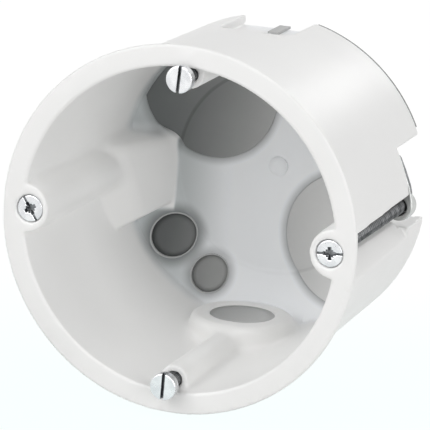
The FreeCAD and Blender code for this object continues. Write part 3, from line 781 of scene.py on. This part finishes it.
def soft_membrane(name, dark, light, shaded_x, lit_x):
    """Rubber with painted light and shade, from dark at one place along X to light at another, and a dark
    line of painted shade at the disc's edge.
    """
    material, shader, start = new_finish(name)
    along_x, _, flat = flat_place(start)
    cloudy = along_x + noise(start, MEMBRANE_CLOUD, 3) * (CLOUD_REACH * MM)
    tone = cloudy.step_mm(shaded_x + CLOUD_REACH / 2, lit_x + CLOUD_REACH / 2)
    beyond = flat.length() - DISC_RADIUS * MM
    # painted shade along the crease, on the dark side only
    crease_shade = (1 - (beyond * beyond).step(0, (CREASE_SHADE_WIDTH * MM) ** 2)) * (1 - tone)
    link(shader, "Base Color", (crease_shade * CREASE_SHADE_SHARE).mix(tone.mix(dark, light), CREASE_SHADE_TONE))
    dulled(shader, start, *MEMBRANE_SHINE)
    grained(shader, start, *MEMBRANE_GRAIN)
    return material


def dress(node, material):
    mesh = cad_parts[node].data
    mesh.materials.clear()
    mesh.materials.append(material)


# Three copies of the rubber, each with its own painted light and shade along X.
rubber = soft_membrane("soft_membrane", (0.135, 0.145, 0.145), (0.94, 0.94, 0.935), -28, 28)
back_rubber = soft_membrane("soft_membrane_back", (0.115, 0.124, 0.124), (0.20, 0.205, 0.205), -28, 28)
entry_rubber = soft_membrane("soft_membrane_entry", (0.10, 0.107, 0.107), (0.40, 0.405, 0.40), -24, -6)
finishes = {"cable_membrane_top": back_rubber, "cable_membrane_bottom": entry_rubber}
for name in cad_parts:
    if "membrane" in name:
        dress(name, finishes.get(name, rubber))

# The thin discs of the membranes, nearly flush with the faces of the floor and of the bosses
DISC_SINK = 0.25
DISC_THICKNESS = 0.5
DISC_SHARES = (0.02, 0.35, 0.7, 1.0)        # of the radius, from the middle outwards


def soft_disc(name, radius, material, place):
    """Disc whose points come from a turn, a radius and a depth behind its face."""
    rows = []
    for depth, shares in ((DISC_SINK, DISC_SHARES), (DISC_SINK + DISC_THICKNESS, DISC_SHARES[::-1])):
        rows += [[place(a, radius * share, depth) for a in round_turn(RING_STEPS)] for share in shares]
    piece = swept(name, rows, material, False)
    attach(piece, "box")


def on_floor(centre_x, centre_z):
    def place(a, r, depth):
        x, z = centre_x + r * math.cos(a), centre_z + r * math.sin(a)
        return x, floor_depth(math.hypot(x, z)) + depth, z
    return place


def on_boss(side):
    def place(a, r, depth):
        return r * math.cos(a), SIDE_ENTRY_DEPTH + r * math.sin(a), side * (BOSS_HEIGHT + depth)
    return place


for side, word in ENDS:
    material = back_rubber if word == "top" else entry_rubber
    for (radius, angle), size in zip(CABLE_ENTRIES, ENTRY_WORDS):
        soft_disc("entry_disc_%s_%s" % (word, size), radius, material, on_floor(*cable_place(side, angle)))
    soft_disc("side_disc_" + word, SIDE_ENTRY_RADIUS, rubber, on_boss(side))


# Screws.
# Zinc-plated steel: two slotted screws above and below hold the wiring device, and two long
# screws at the sides, with a cross recess and a slot, draw the claws forward.
SCREW_STEP = 0.1
SCREW_SHARE = 0.8
DEVICE_SCREW = (2.0, 1.6, 0.18, 0.8)        # head height, shank radius, trim of the head, pitch
CLAW_SCREW = (1.8, 1.5, 0.22, 0.9)
HEAD_EDGE = 0.3
HEAD_INSET = 0.005
THREAD_DEPTH = 0.3
TIP_LENGTH, TIP_TAPER = 1.0, 0.5
PAST_HEAD = 4.0
DEVICE_SLOT = (PAST_HEAD, 0.3, 1.1)         # half length, half width, depth
LONG_SLOT, CROSS_ARM, STAR_ARM = (PAST_HEAD, 0.2, 0.4), (1.25, 0.36, 1.3), (0.95, 0.16, 0.7)
SLOT_ROUNDING = 0.08
TOP_TURN, BOTTOM_TURN, LEFT_TURN, RIGHT_TURN = 4, 2, -33, 86
SLOT_WALL_START, SLOT_FLOOR_END, SLOT_SIDE_END = 0.35, 0.1, 0.06     # of a recess that takes dull zinc with painted shade
THREAD_START = 0.1                          # behind the head
FLANK = 0.2                                 # thread faces that lean more than this take painted shade,
CREST = 0.1                                 # and those that lie deeper than this
ZINC_CLOUD, DULL_CLOUD = 500, 600
ZINC_TONES = ((0.72, 0.73, 0.75), (0.86, 0.87, 0.88))
RECESS_SHADE_TONES = ((0.10, 0.105, 0.11), (0.30, 0.31, 0.32))
CREST_SHADE_TONES = ((0.38, 0.385, 0.39), (0.52, 0.525, 0.53))
ROOT_SHADE_TONES = ((0.06, 0.062, 0.064), (0.15, 0.154, 0.158))
ZINC_SHINE, DULL_SHINE = (1500, 0.15, 0.18), (1500, 0.15, 0.4)
ZINC_GRAIN = (2500, 0.08, 0.00005)


def bright_zinc():
    material, shader, start = new_finish("bright_zinc", 1.0)
    link(shader, "Base Color", clouds(start, ZINC_CLOUD, ZINC_TONES))
    dulled(shader, start, *ZINC_SHINE)
    grained(shader, start, *ZINC_GRAIN)
    return material


def dull_zinc(name, tones):
    """The same plating, dulled and painted dark: shade in the recesses of the heads and on the claws' cut
    edges, shade and dark reflection on the threads.
    """
    material, shader, start = new_finish(name, 1.0)
    link(shader, "Base Color", clouds(start, DULL_CLOUD, tones))
    dulled(shader, start, *DULL_SHINE)
    return material


zinc = bright_zinc()
# Painted shade in the recesses, and painted shade and dark reflection on the threads.
recess = dull_zinc("recess_zinc", RECESS_SHADE_TONES)
thread_crest = dull_zinc("thread_crest", CREST_SHADE_TONES)
thread_root = dull_zinc("thread_root", ROOT_SHADE_TONES)
screw_finishes = [zinc, recess, thread_crest, thread_root]


def turned(x, z, degrees):
    """Places along and across a slot that is turned so far from upright."""
    a = math.radians(degrees)
    return x * math.sin(a) + z * math.cos(a), x * math.cos(a) - z * math.sin(a)


def screw_finish(here, lean, slots, head_height, shank_radius):
    """Finish of the face at a place in mm behind the middle of the head."""
    if here.y > head_height + THREAD_START:
        deep = lean > FLANK or math.hypot(here.x, here.z) < shank_radius - CREST
        return thread_root if deep else thread_crest
    for degrees, (half_length, half_width, depth) in slots:
        u, w = turned(here.x, here.z, degrees)
        if (SLOT_WALL_START * depth < here.y < depth + SLOT_FLOOR_END
                and abs(u) < half_length + SLOT_SIDE_END and abs(w) < half_width + SLOT_SIDE_END):
            return recess
    return zinc


def screw(name, node, sizes, slots):
    """Screw with a true thread, and with slots of (turn, (half length, half width, depth))."""
    head_height, shank_radius, head_trim, pitch = sizes
    low, high = (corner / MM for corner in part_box(node))
    head_radius = (high.x - low.x) / 2 - head_trim
    length = high.y - low.y
    grid = Lattice((-head_radius, 0, -head_radius), (head_radius, length, head_radius), SCREW_STEP)
    turn = np.arctan2(grid.z, grid.x) / (2 * math.pi)
    ridge = np.abs((grid.y / pitch + turn) % 1 - 0.5) * 2
    taper = rise(grid.y, length - TIP_LENGTH, length) * TIP_TAPER
    thread = grid.across - shank_radius + THREAD_DEPTH * ridge + taper
    shank = np.maximum(thread, between(grid.y, head_height / 2, length))
    head = shared(grid.across - head_radius, between(grid.y, HEAD_INSET, head_height), HEAD_EDGE)
    field = np.minimum(head, shank)
    for degrees, (half_length, half_width, depth) in slots:
        u, w = turned(grid.x, grid.z, degrees)
        slot = np.maximum(np.maximum(np.abs(u) - half_length, np.abs(w) - half_width), grid.y - depth)
        field = without(field, slot, SLOT_ROUNDING)
    centre = Vector(((low.x + high.x) / 2, low.y, (low.z + high.z) / 2))
    piece = grid.cast(name, field, screw_finishes, SCREW_SHARE, centre)
    for face in piece.data.polygons:
        finish = screw_finish(face.center / MM - centre, abs(face.normal.y), slots, head_height, shank_radius)
        face.material_index = screw_finishes.index(finish)
    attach(piece, node)
    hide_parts(node)


def cross_and_slot(degrees):
    return [(degrees, LONG_SLOT), (degrees, CROSS_ARM), (degrees + 90, CROSS_ARM),
            (degrees + 45, STAR_ARM), (degrees + 135, STAR_ARM)]


screw("slotted_screw_top", "device_screw_top", DEVICE_SCREW, [(TOP_TURN, DEVICE_SLOT)])
screw("slotted_screw_bottom", "device_screw_bottom", DEVICE_SCREW, [(BOTTOM_TURN, DEVICE_SLOT)])
screw("clamping_screw_left", "claw_screw_left", CLAW_SCREW, cross_and_slot(LEFT_TURN))
screw("clamping_screw_right", "claw_screw_right", CLAW_SCREW, cross_and_slot(RIGHT_TURN))


# Claws.
# Pressed from steel sheet, each with a threaded collar on its clamping screw. Turning the screw
# swings the blade out of its recess and then pulls it forward against the back of the wall.
CLAW_STEP = 0.1
CLAW_SHARE = 0.5
CLAW_FRONT = 40.0
CLAW_THICKNESS = 3.0
CLAW_PLATE = 1.3
CLAW_COLLAR = 2.85
CLAW_BORE = 1.55
CLAW_EDGE, BORE_EDGE = 0.25, 0.1
BORE_SINK, BORE_SINK_DEPTH = 0.2, 0.8
CLAW_ROOM, CLAW_REACH = 3, 11               # room round the collar, and along the blade
CLAW_OUTLINE = [(2.74, 0), (2.74, 1.3), (2.05, 4.3), (0.8, 7.35), (-0.34, 9.75), (-0.79, 10.2),
                (-2.29, 10.2), (-2.74, 9.75), (-2.74, 0)]
CUT_EDGE = 0.5                              # faces that lean less than this are the sheet's cut edge, painted dark as shade
CLAW_CLOUD = 350
CLAW_TONES = ((0.46, 0.47, 0.46), (0.60, 0.61, 0.60))
CLAW_SHINE = (900, 0.2, 0.3)
CLAW_GRAIN = (2000, 0.1, 0.00005)


def pressed_zinc():
    material, shader, start = new_finish("pressed_zinc", 1.0)
    link(shader, "Base Color", clouds(start, CLAW_CLOUD, CLAW_TONES))
    dulled(shader, start, *CLAW_SHINE)
    grained(shader, start, *CLAW_GRAIN)
    return material


claw_finishes = [pressed_zinc(), recess]


def claw(name, node, side):
    low_z, high_z = (-CLAW_ROOM, CLAW_REACH) if side > 0 else (-CLAW_REACH, CLAW_ROOM)
    grid = Lattice((-CLAW_ROOM, 0, low_z), (CLAW_ROOM, CLAW_THICKNESS, high_z), CLAW_STEP)
    blade = outline_distance(side * grid.x, side * grid.z, CLAW_OUTLINE)
    plate = shared(blade, between(grid.y, 0, CLAW_PLATE), CLAW_EDGE)
    collar = shared(grid.across - CLAW_COLLAR, between(grid.y, 0, CLAW_THICKNESS), CLAW_EDGE)
    sink = BORE_SINK * rise(BORE_SINK_DEPTH - grid.y, 0, BORE_SINK_DEPTH)
    field = without(np.minimum(plate, collar), grid.across - CLAW_BORE - sink, BORE_EDGE)
    piece = grid.cast(name, field, claw_finishes, CLAW_SHARE, (side * CLAW_SCREW_X, CLAW_FRONT, 0))
    for face in piece.data.polygons:
        on_blade = side * face.center.z / MM > CLAW_COLLAR
        # painted shade: the blade's cut edges take the dark zinc of the recesses
        face.material_index = 1 if on_blade and abs(face.normal.y) < CUT_EDGE else 0
    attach(piece, node)
    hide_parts(node)


claw("pressed_claw_right", "claw_right", 1)
claw("pressed_claw_left", "claw_left", -1)
